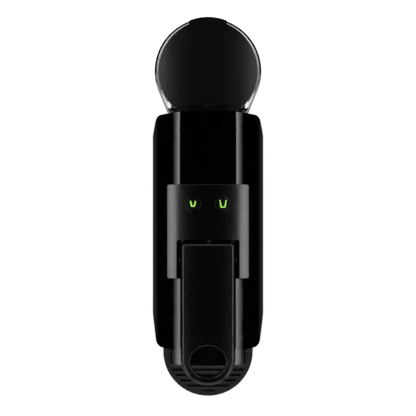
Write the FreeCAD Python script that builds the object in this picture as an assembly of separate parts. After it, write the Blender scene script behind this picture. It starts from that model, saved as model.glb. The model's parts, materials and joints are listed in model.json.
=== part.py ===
import FreeCAD, Part
import math
import os

# Pod coffee machine. Millimetres, +Z up, front towards -Y, standing on Z = 0.

# ---- overall ----
BODY_HALF = 42.0            # half the width of the outer shell
SPRING_Z = 176.0            # height where the shell's sides start to arch over
ARCH_RISE = 24.0            # from there to the top of the shell
ARCH_POWER = 2.5            # squareness of the arch, 2 is an ellipse
CROWN_R = 116.0             # radius across the machine of the panel's and the lever's tops
SHELL_WALL = 2.5
SHELL_CORNER_R = 5.5        # the shell's four corners, seen from above
SHELL_FACET_R = 9.0         # where its straight sides turn into the slanted ones
SHELL_FRONT_Y = -88.0
SHELL_REAR_Y = 84.5
SHELL_BOTTOM_Z = 8.0
BAY_BACK_Y = -62.0          # back of the cup bay
BAY_TOP_Z = 142.0           # underside of the brewing head
FIT_GAP = 0.05              # between fixed pieces that touch
FREE_GAP = 0.3              # between pieces that move past each other
PIN_CLEAR = 0.05            # running clearance of pins in their bores
BEND_SHARE = 0.45           # part of a hose's run that its bend takes up

# ---- control panel and buttons ----
PANEL_HALF = 30.0
PANEL_FRONT_Y = -36.5
PANEL_REAR_Y = 32.3
PANEL_PROUD = 1.6
PANEL_EDGE_R = 0.5
NOTCH_HALF = 22.5
NOTCH_REAR_Y = -8.3
NOTCH_UNDERCUT = 2.8        # the shell's notch ends this much behind the panel's, for the turning lever
SLOT_HALF = 20.4            # slot in the shell for the lever, in front of the panel
BUTTON_X = 10.9
BUTTON_Y = 18.0
BUTTON_R = 5.8
BUTTON_SUNK = 0.3           # of the buttons' tops below the panel's
BUTTON_EDGE_R = 0.45
ICON_SMALL_HALF = 2.25      # cup outlines on the buttons, half as wide as the cup's rim
ICON_SMALL_H = 4.2
ICON_LARGE_HALF = 2.7
ICON_LARGE_H = 5.5
ICON_TAPER = 0.85           # each side leans in by this much towards the cup's foot
ICON_STROKE = 0.85
ICON_CORNER_R = 0.9
BOARD_TOP_Z = 189.0

# ---- lever ----
LEVER_HALF = 20.0
LEVER_AXIS_Y = -23.4
LEVER_AXIS_Z = 191.0
LEVER_RISE = 13.0           # of its top above the pivot
LEVER_REAR_Y = -10.7
LEVER_CORNER_R = 3.0        # of its rear end, seen from above
LEVER_THICK = 7.5
LEVER_WALL = 2.2
LEVER_EDGE_R = 2.6
LEVER_END_Y = -94.9         # centre of the round front end
LEVER_TOP_FALLS = [(-52.0, 0.0), (-75.0, 1.3), (-98.0, 4.2), (-124.9, 9.4)]   # along Y, how far its top sinks
LEVER_UNDER_FALLS = [(-56.0, 0.0), (-75.0, 0.9), (-98.0, 3.6), (-124.9, 8.4)]
LEVER_TIP_SLOPE = 0.21
HOLE_Y = -97.1              # centre of the finger hole
HOLE_HALF_X = 13.1
HOLE_HALF_Y = 12.2
SHAFT_R = 2.0
LEVER_OPEN_DEG = 92.0

# ---- brew unit ----
CAGE_HALF = 16.5
CAGE_FRONT_Y = -58.0
CAGE_REAR_Y = -34.0
CAGE_BOTTOM_Z = 144.0
CAGE_TOP_Z = 176.5
CAGE_TRAVEL = 24.0
CAGE_AXIS_Z = 160.0
CAGE_PIN_DROP = 17.0        # of the cage pins below the lever's axis
CAGE_PIN_BACK = 24.0        # of the cage pins in front of the lever's axis, lever closed
CAM_X = 18.7
CAM_THICK = 1.2
CAM_BAND = 4.8
WALL_X = 21.3
WALL_THICK = 2.5

# ---- tank ----
TANK_Y = 117.2
TANK_R = 39.9
TANK_WALL = 1.4
TANK_FRONT_Y = 88.0
TANK_FLANK_DEG = 24.0       # the flat flanks lean in by this much towards the shell
TANK_BOTTOM_Z = 38.4
TANK_TOP_Z = 186.0
LID_R = 37.1
LID_TOP_Z = 190.5
LID_ARCH_R = 173.0          # across the machine, of its arched top
LID_THICK = 2.4
LID_RIM = 2.0               # width of its rim, which reaches down inside the tank
LID_RIM_DEPTH = 3.0         # of the rim below the tank's top
LID_FRONT_Y = 86.8
LID_UNDER_Z = 186.2         # underside where it passes over the tank's front wall
LID_TAB_HALF = 14.0
LID_TAB_R = 39.4
LID_HINGE_Y = 88.2
LID_HINGE_Z = 187.9
LID_PIN_R = 0.9
LID_PIN_HALF = 18.4         # reach of the hinge pins to each side
LID_RECESS_HALF = 14.4
LID_RECESS_Y = 91.2         # rear edge of its recess
HINGE_STEP_HALF = 25.0      # step in the tank's front wall under the hinge
HINGE_STEP = 1.0
VALVE_Y = 104.0

# ---- base and tank support ----
FOOT_H = 3.0
BASE_TOP_Z = 6.0
SUPPORT_R = 36.0
SUPPORT_Y = 128.0
SUPPORT_TOP_Z = 38.0
SCREW_R = 1.3
SCREW_HEAD_R = 2.6
SCREW_SPOTS = [(-32.5, 20.0), (32.5, 20.0), (-22.0, 66.0), (22.0, 66.0), (-17.0, 143.0), (17.0, 143.0)]
FOOT_SPOTS = [(-34.0, -50.0), (34.0, -50.0), (-26.0, 134.0), (26.0, 134.0)]

# ---- drawer, grids ----
TRAY_HALF = 42.7
TRAY_Y = -121.3
TRAY_BOTTOM_Z = 6.4
TRAY_TOP_Z = 24.0
DRAWER_HALF = 34.4
DRAWER_REAR_Y = 6.0
CONTAINER_TOP_Z = 104.0
FRONT_TOP_Z = 110.0
CUP_TOP_Z = 50.0
CUP_THICK = 6.0
CUP_RIM = 3.1
CUP_FLOOR = 1.0             # of the dish that catches drips under the slotted plate
GRID_THICK = 4.0
CUP_HINGE_Y = -76.0
CUP_HINGE_Z = 47.6
SLOT_FIRST_Y = -159.4
SLOT_PITCH = 5.06
SLOT_COUNT = 15
SLOT_WIDTH = 2.3

# ---- pump and flow meter ----
PUMP_Y = 58.0
METER_X = -28.0
METER_Y = 22.0
METER_R = 11.0

# ---- nose and outlet ----
NOSE_HALF = 29.0
NOSE_FRONT_Y = -103.0
NOSE_BOTTOM_Z = 145.4
NOSE_TOP_Z = 189.0
NOSE_WALL = 2.4
NOSE_EDGE_R = 3.0
OUTLET_Y = -92.4
OUTLET_BOTTOM_Z = 138.2

# ---- far ends of cutting boxes, clear of the machine ----
WIDE = 60.0
FAR_FRONT = -120.0
FAR_REAR = 200.0
FAR_TOP = 220.0

X_AXIS = FreeCAD.Vector(1, 0, 0)
Y_AXIS = FreeCAD.Vector(0, 1, 0)
Z_AXIS = FreeCAD.Vector(0, 0, 1)
OUT = "parts"


def vec(x, y, z):
    return FreeCAD.Vector(x, y, z)


def box(x0, x1, y0, y1, z0, z1):
    return Part.makeBox(x1 - x0, y1 - y0, z1 - z0, vec(x0, y0, z0))


def slab(half, y0, y1, z0, z1):
    """A box centred across the machine."""
    return box(-half, half, y0, y1, z0, z1)


def rod(radius, start, end):
    """A round bar between two points."""
    along = end - start
    return Part.makeCylinder(radius, along.Length, start, along)


def post(radius, x, y, z0, z1):
    return rod(radius, vec(x, y, z0), vec(x, y, z1))


def tube(outer, inner, start, end):
    return rod(outer, start, end).cut(rod(inner, start, end))


def fuse(shapes):
    shape = shapes[0]
    if len(shapes) > 1:
        shape = shape.multiFuse(shapes[1:])
    return shape.removeSplitter()


def cut(shape, tools):
    return shape.cut(Part.makeCompound(tools))


def prism(points, direction):
    """A flat outline through the points, pushed along direction."""
    wire = Part.makePolygon(points + [points[0]])
    return Part.Face(wire).extrude(direction)


def mirrored(shape):
    return shape.mirror(vec(0, 0, 0), X_AXIS)


def pair(shape):
    """The shape and its mirror image on the other side, as separate solids."""
    return Part.makeCompound([shape, mirrored(shape)])


def arch(grow, y0, y1, bottom):
    """The shell's cross-section, grown outwards by grow, from y0 to y1."""
    half = BODY_HALF + grow
    rise = ARCH_RISE + grow
    steps = 24
    points = []
    for i in range(steps + 1):
        angle = math.pi * i / steps
        c = math.cos(angle)
        s = math.sin(angle)
        x = math.copysign(abs(c) ** (2.0 / ARCH_POWER), c) * half
        z = SPRING_Z + max(s, 0.0) ** (2.0 / ARCH_POWER) * rise
        points.append(vec(x, y0, z))
    points[0] = vec(half, y0, SPRING_Z)
    points[-1] = vec(-half, y0, SPRING_Z)
    curve = Part.BSplineCurve()
    curve.interpolate(points)
    sides = Part.makePolygon([points[-1], vec(-half, y0, bottom), vec(half, y0, bottom), points[0]])
    wire = Part.Wire([curve.toShape()] + sides.Edges)
    return Part.Face(wire).extrude(vec(0, y1 - y0, 0))


def crown(grow, y0, y1):
    """A long bar whose top is the gentle crown of the panel and the lever, grown outwards by grow."""
    top = SPRING_Z + ARCH_RISE + PANEL_PROUD
    axis_z = top - CROWN_R
    return rod(CROWN_R + grow, vec(0, y0, axis_z), vec(0, y1, axis_z))


def plan(inset, bottom, top):
    """The shell's outline seen from above: straight sides, slanted ends, round corners, bowed ends."""
    half = BODY_HALF - inset
    rear = SHELL_REAR_Y - inset
    front = SHELL_FRONT_Y + inset
    bow = 1.2
    right = [vec(half - 3.9, front + 0.6, bottom), vec(half, -62.2, bottom),
             vec(half, 67.7, bottom), vec(half - 3.7, rear - 1.0, bottom)]
    left = [vec(-p.x, p.y, bottom) for p in reversed(right)]
    rear_arc = Part.Arc(right[-1], vec(0, rear + bow, bottom), left[0]).toShape()
    front_arc = Part.Arc(left[-1], vec(0, front - bow, bottom), right[0]).toShape()
    edges = Part.makePolygon(right).Edges + [rear_arc] + Part.makePolygon(left).Edges + [front_arc]
    solid = Part.Face(Part.Wire(edges)).extrude(vec(0, 0, top - bottom))
    upright = [e for e in solid.Edges if e.BoundBox.ZLength > (top - bottom) * 0.9]
    corners = [e for e in upright if abs(e.BoundBox.XMin) < half - 2.0]
    solid = solid.makeFillet(SHELL_CORNER_R - inset, corners)
    facets = [e for e in solid.Edges if e.BoundBox.ZLength > (top - bottom) * 0.9
              and abs(e.BoundBox.XMin) > half - 0.1 and e.BoundBox.XLength < 0.1]
    return solid.makeFillet(SHELL_FACET_R, facets)


def round_front(half, centre_y, rear_y, z0, z1):
    """A plate with a round front end, straight sides and a square rear end."""
    block = slab(half, centre_y, rear_y, z0, z1)
    return block.fuse(post(half, 0, centre_y, z0, z1)).removeSplitter()


def round_back(half, centre_y, front_y, z0, z1):
    """A plate with a round rear end."""
    block = slab(half, front_y, centre_y, z0, z1)
    return block.fuse(post(half, 0, centre_y, z0, z1)).removeSplitter()


def tank_outline(inset, z0, z1):
    """Round at the back, with flat flanks that run in towards the shell."""
    radius = TANK_R - inset
    lean = math.radians(TANK_FLANK_DEG)
    touch_x = radius * math.cos(lean)
    touch_y = TANK_Y - radius * math.sin(lean)
    front_y = TANK_FRONT_Y + inset
    front_x = touch_x - (touch_y - front_y) * math.tan(lean)
    flanks = prism([vec(touch_x, touch_y, z0), vec(front_x, front_y, z0),
                    vec(-front_x, front_y, z0), vec(-touch_x, touch_y, z0)], vec(0, 0, z1 - z0))
    behind = slab(TANK_R * 2, touch_y, TANK_Y + TANK_R * 2, z0, z1)
    body = fuse([post(radius, 0, TANK_Y, z0, z1).common(behind), flanks])
    corners = [e for e in body.Edges if e.BoundBox.ZLength > (z1 - z0) * 0.9
               and e.BoundBox.YLength < 0.1 and abs(e.BoundBox.YMin - front_y) < 0.1]
    return body.makeFillet(3.0, corners)


def hose(points, outer, inner):
    """A bent tube: straight runs between the points, joined by arcs as large as the runs allow."""
    edges = []
    last = points[0]
    for before, corner, after in zip(points, points[1:], points[2:]):
        back = before - corner
        ahead = after - corner
        reach = BEND_SHARE * min(back.Length, ahead.Length)
        back.normalize()
        ahead.normalize()
        start = corner + back * reach
        end = corner + ahead * reach
        turn = math.pi - back.getAngle(ahead)
        radius = reach / math.tan(turn / 2)
        inwards = back + ahead
        inwards.normalize()
        middle = corner + inwards * (radius / math.cos(turn / 2) - radius)
        edges.append(Part.makeLine(last, start))
        edges.append(Part.Arc(start, middle, end).toShape())
        last = end
    edges.append(Part.makeLine(last, points[-1]))
    spine = Part.Wire(edges)
    solids = []
    for radius in (outer, inner):
        ring = Part.Wire([Part.makeCircle(radius, points[0], points[1] - points[0])])
        solids.append(spine.makePipeShell([ring], True, True))
    return solids[0].cut(solids[1])


def spring(foot, pitch, height, radius, wire_r):
    """A coil spring standing on foot."""
    helix = Part.makeHelix(pitch, height, radius)
    helix.translate(foot)
    coil = helix.Edges[0]
    start = coil.valueAt(coil.FirstParameter)
    along = coil.tangentAt(coil.FirstParameter)
    ring = Part.Wire([Part.makeCircle(wire_r, start, along)])
    return Part.Wire(helix.Edges).makePipeShell([ring], True, True)


def screw(x, y, z, length):
    """A pan-head screw driven upwards from z, with a cross slot in its head."""
    head = post(SCREW_HEAD_R, x, y, z, z + 1.6)
    shank = post(SCREW_R, x, y, z + 1.6, z + length)
    slots = [box(x - 1.7, x + 1.7, y - 0.3, y + 0.3, z, z + 0.9),
             box(x - 0.3, x + 0.3, y - 1.7, y + 1.7, z, z + 0.9)]
    return cut(fuse([head, shank]), slots)


# ---------------------------------------------------------------- shell

def outer_shell():
    top = SPRING_Z + ARCH_RISE + 5
    outside = arch(0, SHELL_FRONT_Y - 5, SHELL_REAR_Y + 5, SHELL_BOTTOM_Z).common(
        plan(0, SHELL_BOTTOM_Z, top))
    inside = arch(-SHELL_WALL, SHELL_FRONT_Y - 5, SHELL_REAR_Y + 5, SHELL_BOTTOM_Z - 1).common(
        plan(SHELL_WALL, SHELL_BOTTOM_Z - 1, top))
    bay = slab(WIDE, FAR_FRONT, BAY_BACK_Y, -1, BAY_TOP_Z)
    lever_slot = slab(SLOT_HALF, FAR_FRONT, PANEL_FRONT_Y, NOSE_TOP_Z - 4, top)
    notch = slab(NOTCH_HALF, PANEL_FRONT_Y, NOTCH_REAR_Y + NOTCH_UNDERCUT, NOSE_TOP_Z - 4, top)
    nose_way = nose_block(-FIT_GAP, SHELL_FRONT_Y - 3, SHELL_FRONT_Y + 8, BAY_TOP_Z - 1)
    window = slab(19.0, 6.0, 29.0, NOSE_TOP_Z, top)
    shell = cut(outside, [inside, bay, lever_slot, notch, nose_way, window])
    return cut(shell, rear_vents() + [slab(30.0, 78, 90, SHELL_BOTTOM_Z - 1, 22.0)])


def rear_vents():
    """Slots that let warm air out of the shell's rear wall."""
    return [box(x - 0.9, x + 0.9, 78, 90, 150, 168) for x in range(-21, 22, 6)]


def front_frame():
    """Back of the cup bay: a wall round the drawer's opening."""
    wall = slab(BODY_HALF - SHELL_WALL - FIT_GAP, BAY_BACK_Y, BAY_BACK_Y + 3.0, BASE_TOP_Z, BAY_TOP_Z)
    way = slab(DRAWER_HALF + 0.6, BAY_BACK_Y - 1, BAY_BACK_Y + 4, BASE_TOP_Z - 1, FRONT_TOP_Z + 0.6)
    returns = [box(s * 38.6 - 0.8, s * 38.6 + 0.8, BAY_BACK_Y + 3, BAY_BACK_Y + 9, 12, 138) for s in (-1, 1)]
    return fuse([wall.cut(way)] + returns)


def head_floor():
    """Closes the brewing head and its nose from below; the chute for used capsules is behind the cup bay."""
    inner = plan(SHELL_WALL + FIT_GAP, BAY_TOP_Z, BAY_TOP_Z + 3).common(
        slab(WIDE, -100, 12, BAY_TOP_Z - 1, BAY_TOP_Z + 4))
    chute = slab(18.8, -58.6, -9.4, BAY_TOP_Z - 1, BAY_TOP_Z + 4)
    spout = post(9.0, 0, OUTLET_Y, BAY_TOP_Z - 1, BAY_TOP_Z + 4)
    nose = slab(NOSE_HALF, FAR_FRONT, SHELL_FRONT_Y + SHELL_WALL, BAY_TOP_Z - 1, BAY_TOP_Z + 4)
    step = slab(NOSE_HALF - 2.5, SHELL_FRONT_Y + SHELL_WALL, -70.0, BAY_TOP_Z + 3, NOSE_BOTTOM_Z)
    plate = slab(NOSE_HALF - 2.5, NOSE_FRONT_Y + 2.5, -70.0, NOSE_BOTTOM_Z, NOSE_BOTTOM_Z + 2.4)
    bore = post(7.6, 0, OUTLET_Y, BAY_TOP_Z - 1, NOSE_BOTTOM_Z + 4)
    return cut(fuse([cut(inner, [chute, spout, nose]), step, plate]), [bore])


def nose_block(inset, front_y, rear_y, bottom):
    """Bar with the shell's arch, lowered, between upright sides with rounded upper edges."""
    half = NOSE_HALF - inset
    roof = arch(-inset, front_y - 1, rear_y + 1, BAY_BACK_Y)
    roof.translate(vec(0, 0, NOSE_TOP_Z - SPRING_Z - ARCH_RISE))
    block = slab(half, front_y, rear_y, bottom, NOSE_TOP_Z + 5).common(roof)
    edges = [e for e in block.Edges if e.BoundBox.YLength > (rear_y - front_y) * 0.9
             and abs(abs(e.BoundBox.Center.x) - half) < 0.1 and e.BoundBox.ZMin > NOSE_BOTTOM_Z + 20]
    return block.makeFillet(NOSE_EDGE_R - inset, edges)


def head_nose():
    """Brewing head cover: straight front edge, arched across, upright sides."""
    solid = nose_block(0, NOSE_FRONT_Y, -63.0, NOSE_BOTTOM_Z)
    lip = [e for e in solid.Edges
           if e.BoundBox.YMax < NOSE_FRONT_Y + 0.1 and e.BoundBox.ZMax > NOSE_BOTTOM_Z + 1]
    solid = solid.makeFillet(1.4, lip)
    return solid.cut(nose_block(NOSE_WALL, NOSE_FRONT_Y + NOSE_WALL, -60.0, NOSE_BOTTOM_Z - 1))


def on_crown(edge):
    """True for an edge that lies in the crowned top."""
    axis_z = SPRING_Z + ARCH_RISE + PANEL_PROUD - CROWN_R
    span = edge.LastParameter - edge.FirstParameter
    spots = [edge.valueAt(edge.FirstParameter + span * share) for share in (0.1, 0.5, 0.9)]
    return all(abs(math.hypot(p.x, p.z - axis_z) - CROWN_R) < 0.01 for p in spots)


def control_panel():
    block = slab(PANEL_HALF, PANEL_FRONT_Y, PANEL_REAR_Y, 180, 210)
    corners = [e for e in block.Edges if e.BoundBox.ZLength > 20]
    block = block.makeFillet(1.6, corners)
    notch = slab(NOTCH_HALF, PANEL_FRONT_Y - 5, NOTCH_REAR_Y, 170, 220)
    notch_corners = [e for e in notch.Edges
                     if e.BoundBox.ZLength > 20 and e.BoundBox.YMin > NOTCH_REAR_Y - 0.1]
    notch = notch.makeFillet(1.6, notch_corners)
    inner = arch(FIT_GAP, PANEL_FRONT_Y - 1, PANEL_REAR_Y + 1, 160)
    holes = [post(BUTTON_R + FREE_GAP, s * BUTTON_X, BUTTON_Y, 180, 210) for s in (-1, 1)]
    solid = block.common(crown(0, PANEL_FRONT_Y - 5, PANEL_REAR_Y + 5)).cut(notch)
    rim = [e for e in solid.Edges if on_crown(e)]
    return cut(solid.makeFillet(PANEL_EDGE_R, rim), [inner] + holes)


def icon(side, half, height):
    """A lit cup outline, tapered and open at its rim, standing in its button."""
    x = side * BUTTON_X
    z0 = 197.0
    z1 = 205.0
    foot = half - ICON_TAPER
    low = BUTTON_Y - height / 2
    high = BUTTON_Y + height / 2
    outer = prism([vec(x - half, high, z0), vec(x - foot, low, z0),
                   vec(x + foot, low, z0), vec(x + half, high, z0)], vec(0, 0, z1 - z0))
    inner = prism([vec(x - half + ICON_STROKE, high + 0.1, z0),
                   vec(x - foot + ICON_STROKE, low + ICON_STROKE, z0),
                   vec(x + foot - ICON_STROKE, low + ICON_STROKE, z0),
                   vec(x + half - ICON_STROKE, high + 0.1, z0)], vec(0, 0, z1 - z0))
    feet = [e for e in outer.Edges if e.BoundBox.ZLength > 1 and e.BoundBox.YMax < low + 0.1]
    outer = outer.makeFillet(ICON_CORNER_R, feet)
    return outer.cut(inner).common(crown(0.05 - BUTTON_SUNK, 0, 30))


def button(side, glyph):
    x = side * BUTTON_X
    cap = post(BUTTON_R, x, BUTTON_Y, 195.2, 210).common(crown(-BUTTON_SUNK, 0, 30))
    rim = [e for e in cap.Edges if e.BoundBox.ZMin > 196 and e.BoundBox.XLength > BUTTON_R]
    cap = cap.makeFillet(BUTTON_EDGE_R, rim)
    hollow = post(BUTTON_R - 1.2, x, BUTTON_Y, 190, 196.4)
    stem = post(1.6, x, BUTTON_Y, 193.4, 197.0)
    return cut(fuse([cap.cut(hollow), stem]), [glyph])


def button_board():
    return slab(17.5, 6.5, 28.5, BOARD_TOP_Z - 1.4, BOARD_TOP_Z)


def button_switches():
    """On the button board, under each button: a tactile switch between two lamps."""
    parts = []
    for side in (-1, 1):
        x = side * BUTTON_X
        body = box(x - 2.8, x + 2.8, BUTTON_Y - 2.8, BUTTON_Y + 2.8, BOARD_TOP_Z, BOARD_TOP_Z + 2.0)
        parts.append(fuse([body, post(1.5, x, BUTTON_Y, BOARD_TOP_Z + 2.0, BOARD_TOP_Z + 3.0)]))
        for dy in (-4.1, 4.1):
            y = BUTTON_Y + dy
            parts.append(box(x - 1.2, x + 1.2, y - 0.8, y + 0.8, BOARD_TOP_Z, BOARD_TOP_Z + 1.2))
    return Part.makeCompound(parts)


def board_frame():
    """Tray under the panel that carries the button board."""
    top = BOARD_TOP_Z - 1.4
    plate = slab(19.5, 5.0, 30.0, top - 3.0, top)
    pocket = slab(16.0, 8.0, 27.0, top - 4.0, top - 1.6)
    legs = [box(s * 20.6 - 1.2, s * 20.6 + 1.2, 5.0, 30.0, top - 3.0, BOARD_TOP_Z + 3.0) for s in (-1, 1)]
    return fuse([plate.cut(pocket)] + legs)


# ---------------------------------------------------------------- lever

def lever_line(x, level, falls):
    """A line along the lever that runs level, then sinks by each fall at its distance along Y."""
    points = [vec(x, y, level - fall) for y, fall in falls]
    curve = Part.BSplineCurve()
    curve.interpolate(Points=points, InitialTangent=vec(0, -1, 0), FinalTangent=vec(0, -1, -LEVER_TIP_SLOPE))
    return curve.toShape()


def lever_profile(drop, half):
    """Side view of the lever pushed sideways: drop lowers its top surface."""
    top = LEVER_AXIS_Z + LEVER_RISE - drop
    bottom = LEVER_AXIS_Z + LEVER_RISE - LEVER_THICK
    tip_y, tip_fall = LEVER_TOP_FALLS[-1]
    under_fall = LEVER_UNDER_FALLS[-1][1]

    def at(y, z):
        return vec(-half, y, z)

    edges = [
        Part.makeLine(at(LEVER_REAR_Y, bottom), at(LEVER_REAR_Y, top)),
        Part.makeLine(at(LEVER_REAR_Y, top), at(LEVER_TOP_FALLS[0][0], top)),
        lever_line(-half, top, LEVER_TOP_FALLS),
        Part.makeLine(at(tip_y, top - tip_fall), at(tip_y, bottom - under_fall)),
        lever_line(-half, bottom, LEVER_UNDER_FALLS),
        Part.makeLine(at(LEVER_UNDER_FALLS[0][0], bottom), at(LEVER_REAR_Y, bottom)),
    ]
    return Part.Face(Part.Wire(Part.__sortEdges__(edges))).extrude(vec(half * 2, 0, 0))


def lever_crown(drop):
    """Body under the lever's crowned top, swept forwards from behind its rear end."""
    top = LEVER_AXIS_Z + LEVER_RISE - drop
    radius = CROWN_R - drop
    wide = LEVER_HALF + 2
    side_z = top - radius + math.sqrt(radius * radius - wide * wide)
    y = LEVER_REAR_Y + 1
    floor_z = top - 40
    arc = Part.Arc(vec(-wide, y, side_z), vec(0, y, top), vec(wide, y, side_z)).toShape()
    sides = Part.makePolygon([vec(wide, y, side_z), vec(wide, y, floor_z),
                              vec(-wide, y, floor_z), vec(-wide, y, side_z)])
    start = Part.makeLine(vec(0, y, top), vec(0, LEVER_TOP_FALLS[0][0], top))
    path = Part.Wire([start, lever_line(0, top, LEVER_TOP_FALLS)])
    return path.makePipeShell([Part.Wire([arc] + sides.Edges)], True, False)


def under_crown(drop, outline):
    """What the outline cuts from the lever's side view, under its crowned top."""
    tall = lever_profile(-3.0, LEVER_HALF + 1)
    return tall.common(outline).common(lever_crown(drop)).removeSplitter()


def lever_plate():
    """The lever's outside, its upper edge rounded all the way along."""
    outline = round_front(LEVER_HALF, LEVER_END_Y, LEVER_REAR_Y, LEVER_AXIS_Z - 40, FAR_TOP)
    corners = [e for e in outline.Edges if e.BoundBox.ZLength > 60 and e.BoundBox.YMin > LEVER_REAR_Y - 0.1]
    solid = under_crown(0, outline.makeFillet(LEVER_CORNER_R, corners))
    rim = []
    for edge in solid.Edges:
        mid = edge.valueAt((edge.FirstParameter + edge.LastParameter) / 2)
        reach = edge.BoundBox
        on_side = abs(abs(mid.x) - LEVER_HALF) < 0.1 and reach.XLength < 0.1 and reach.YLength > 6
        on_rear = mid.y > LEVER_REAR_Y - LEVER_CORNER_R and reach.XLength > 1
        on_top = mid.z > LEVER_AXIS_Z + LEVER_RISE - 4.6
        on_front_top = reach.XLength > 10 and mid.y < LEVER_END_Y and reach.ZMin > LEVER_AXIS_Z + 3.0
        if (on_side or on_rear) and on_top or on_front_top:
            rim.append(edge)
    return solid.makeFillet(LEVER_EDGE_R, rim)


def finger_hole(grow, z0, z1):
    """Oval prism of the finger hole, grown outwards by grow."""
    ellipse = Part.Ellipse(vec(0, HOLE_Y, z0), HOLE_HALF_X + grow, HOLE_HALF_Y + grow)
    return Part.Face(Part.Wire([ellipse.toShape()])).extrude(vec(0, 0, z1 - z0))


def lever_shell():
    core = CAM_X - FREE_GAP
    boss = rod(5.5, vec(-core, LEVER_AXIS_Y, LEVER_AXIS_Z), vec(core, LEVER_AXIS_Y, LEVER_AXIS_Z))
    web = slab(core, LEVER_AXIS_Y - 12, LEVER_AXIS_Y + 8, LEVER_AXIS_Z, LEVER_AXIS_Z + 8)
    solid = fuse([lever_plate(), boss, web])
    inside = round_front(LEVER_HALF - LEVER_WALL, LEVER_END_Y, LEVER_AXIS_Y - 12, LEVER_AXIS_Z - 40, FAR_TOP)
    pocket = under_crown(LEVER_WALL, inside).cut(finger_hole(2.0, 150, 230))
    bore = rod(SHAFT_R, vec(-30, LEVER_AXIS_Y, LEVER_AXIS_Z), vec(30, LEVER_AXIS_Y, LEVER_AXIS_Z))
    solid = cut(solid, [pocket, finger_hole(0, 150, 230), bore])
    brim = []
    for edge in solid.Edges:
        reach = edge.BoundBox
        if 26 < reach.XLength < 26.5 and 24 < reach.YLength < 25 and reach.ZMax > 198:
            brim.append(edge)
    return solid.makeFillet(0.7, brim)


def lever_liner():
    """Closes the lever from below."""
    inner = lever_profile(LEVER_WALL + 1.0, LEVER_HALF).common(
        round_front(LEVER_HALF - LEVER_WALL - FIT_GAP, LEVER_END_Y, LEVER_AXIS_Y - 12.2, 150, 230))
    upper = lever_profile(0, LEVER_HALF)
    upper.translate(vec(0, 0, 1.8))
    return cut(inner, [upper, finger_hole(2.0 + FIT_GAP, 150, 230)])


def cage_pin_path():
    """The cage pins' way as the turning lever sees it, relative to its axis."""
    path = []
    steps = 30
    for i in range(steps + 1):
        share = i / steps
        angle = math.radians(-LEVER_OPEN_DEG * share)
        y = -CAGE_PIN_BACK + CAGE_TRAVEL * share
        z = -CAGE_PIN_DROP
        turn = -angle
        path.append((y * math.cos(turn) - z * math.sin(turn), y * math.sin(turn) + z * math.cos(turn)))
    return path


def path_band(x0, x1, radius):
    """A strip of the given half-width round the cage pins' way, between x0 and x1."""
    pieces = []
    path = cage_pin_path()
    for i, (y, z) in enumerate(path):
        at = vec(x0, LEVER_AXIS_Y + y, LEVER_AXIS_Z + z)
        pieces.append(Part.makeCylinder(radius, x1 - x0, at, X_AXIS))
        if i:
            dy = y - path[i - 1][0]
            dz = z - path[i - 1][1]
            span = math.hypot(dy, dz)
            ny = -dz / span * radius
            nz = dy / span * radius
            py = LEVER_AXIS_Y + path[i - 1][0]
            pz = LEVER_AXIS_Z + path[i - 1][1]
            corners = [vec(x0, py + ny, pz + nz), vec(x0, py + dy + ny, pz + dz + nz),
                       vec(x0, py + dy - ny, pz + dz - nz), vec(x0, py - ny, pz - nz)]
            pieces.append(prism(corners, vec(x1 - x0, 0, 0)))
    return pieces[0].multiFuse(pieces[1:]).removeSplitter()


def cam_shaft():
    """The lever's shaft, with two curved-slot plates welded on that push and pull the capsule cage."""
    x0 = CAM_X
    x1 = CAM_X + CAM_THICK
    band = path_band(x0, x1, CAM_BAND)
    path = cage_pin_path()
    fan = [vec(x0, LEVER_AXIS_Y + y, LEVER_AXIS_Z + z) for y, z in path[::5]]
    fan.append(vec(x0, LEVER_AXIS_Y + 2, LEVER_AXIS_Z + 1))
    fan.append(vec(x0, LEVER_AXIS_Y - 10, LEVER_AXIS_Z + 1))
    web = prism(fan, vec(CAM_THICK, 0, 0))
    hub = Part.makeCylinder(6.5, CAM_THICK, vec(x0, LEVER_AXIS_Y, LEVER_AXIS_Z), X_AXIS)
    plate = fuse([band, web, hub])
    slot = path_band(x0 - 1, x1 + 1, SHAFT_R + 0.1)
    above = box(x0 - 1, x1 + 1, -80, 20, LEVER_AXIS_Z + 3.8, 240)
    cam = cut(plate, [slot, above])
    shaft = rod(SHAFT_R, vec(-24.4, LEVER_AXIS_Y, LEVER_AXIS_Z), vec(24.4, LEVER_AXIS_Y, LEVER_AXIS_Z))
    return fuse([shaft, cam, mirrored(cam)])


# ---------------------------------------------------------------- brew unit

def brew_frame():
    """Two side walls that hold the brew unit and the lever's shaft."""
    wall = box(WALL_X, WALL_X + WALL_THICK, -60.0, 10.0, BAY_TOP_Z + 3.1, 184.0)
    ear = box(WALL_X, WALL_X + WALL_THICK, LEVER_AXIS_Y - 6, LEVER_AXIS_Y + 6, 180.0, LEVER_AXIS_Z + 3.2)
    bore = rod(SHAFT_R + PIN_CLEAR, vec(15, LEVER_AXIS_Y, LEVER_AXIS_Z), vec(30, LEVER_AXIS_Y, LEVER_AXIS_Z))
    window = box(15, 30, -52.0, -32.0, 160.5, 174.0)
    foot = box(WALL_X, WALL_X + 8.0, -60.0, 10.0, BAY_TOP_Z + 3.1, BAY_TOP_Z + 5.6)
    return pair(cut(fuse([wall, ear, foot]), [bore, window]))


def cage_rails():
    """Grooved rails for the capsule cage."""
    rail = box(18.8, WALL_X - FIT_GAP, -58.0, 8.0, 149.0, 158.0)
    groove = box(18.0, 20.5, -59.0, 9.0, 151.9, 156.1)
    return pair(rail.cut(groove))


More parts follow.
